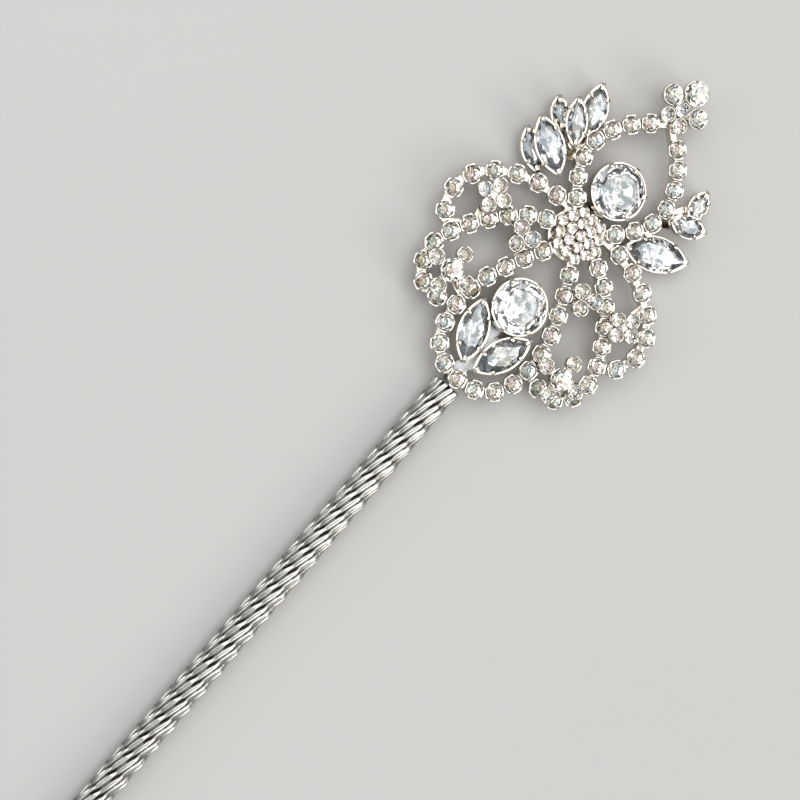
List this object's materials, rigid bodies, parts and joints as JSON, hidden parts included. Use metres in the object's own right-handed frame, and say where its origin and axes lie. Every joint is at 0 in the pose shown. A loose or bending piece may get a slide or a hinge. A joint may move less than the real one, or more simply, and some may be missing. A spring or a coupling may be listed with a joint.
{
  "type": "decorative hair pin",
  "caption": "Long hair pin with a flat openwork jewelled head of soldered wire outlines, cup-set round and marquise crystals, and a textured shank with a smooth point.",
  "frame": {"origin": "on the shank's axis, at the start of the plain cylindrical land where the smooth point begins", "axes": "+Y along the shank from the point towards the jewelled head, +Z out of the front of the stones, +X across the head to the wearer's view right; the pin lies on its back"},
  "size_m": [0.0484, 0.195, 0.0079],
  "materials": {
    "polished_silver": "silver plated, polished",
    "shank_silver": "silver plated, with dark shading in the grooves",
    "rod_steel": "drawn wire, plated",
    "clear_crystal": "cut and polished, foiled back",
    "tinted_crystal": "cut and polished, foiled back with a pale pink, cream and lilac sheen"
  },
  "bodies": {
    "root": {"core_rod": "rod_steel", "shank_sleeve": "shank_silver", "shank_point": "polished_silver", "teardrop_rail": "polished_silver", "teardrop_cups": "polished_silver", "teardrop_stones": "tinted_crystal", "oval_rail": "polished_silver", "oval_cups": "polished_silver", "oval_stones": "tinted_crystal", "upper_petal_rail_left": "polished_silver", "upper_petal_cups_left": "polished_silver", "upper_petal_stones_left": "tinted_crystal", "upper_petal_rail_right": "polished_silver", "upper_petal_cups_right": "polished_silver", "upper_petal_stones_right": "tinted_crystal", "lower_petal_rail_left": "polished_silver", "lower_petal_cups_left": "polished_silver", "lower_petal_stones_left": "tinted_crystal", "lower_petal_rail_right": "polished_silver", "lower_petal_cups_right": "polished_silver", "lower_petal_stones_right": "tinted_crystal", "hub_plate": "polished_silver", "hub_cups": "polished_silver", "hub_stones": "tinted_crystal", "tip_plate": "polished_silver", "tip_cups": "polished_silver", "tip_stones": "tinted_crystal", "upper_round_setting": "polished_silver", "upper_round_stone": "clear_crystal", "lower_round_setting": "polished_silver", "lower_round_stone": "clear_crystal", "belly_settings": "polished_silver", "belly_stones": "clear_crystal", "leaf_spray_left": "polished_silver", "leaf_settings_left": "polished_silver", "leaf_stones_left": "clear_crystal", "leaf_spray_right": "polished_silver", "leaf_settings_right": "polished_silver", "leaf_stones_right": "clear_crystal", "upper_flower_cups_left": "polished_silver", "upper_flower_stones_left": "tinted_crystal", "upper_flower_cups_right": "polished_silver", "upper_flower_stones_right": "tinted_crystal", "mid_flower_cups_left": "polished_silver", "mid_flower_stones_left": "tinted_crystal", "mid_flower_cups_right": "polished_silver", "mid_flower_stones_right": "tinted_crystal", "lower_flower_cups_left": "polished_silver", "lower_flower_stones_left": "tinted_crystal", "lower_flower_cups_right": "polished_silver", "lower_flower_stones_right": "tinted_crystal"}
  },
  "joints": []
}
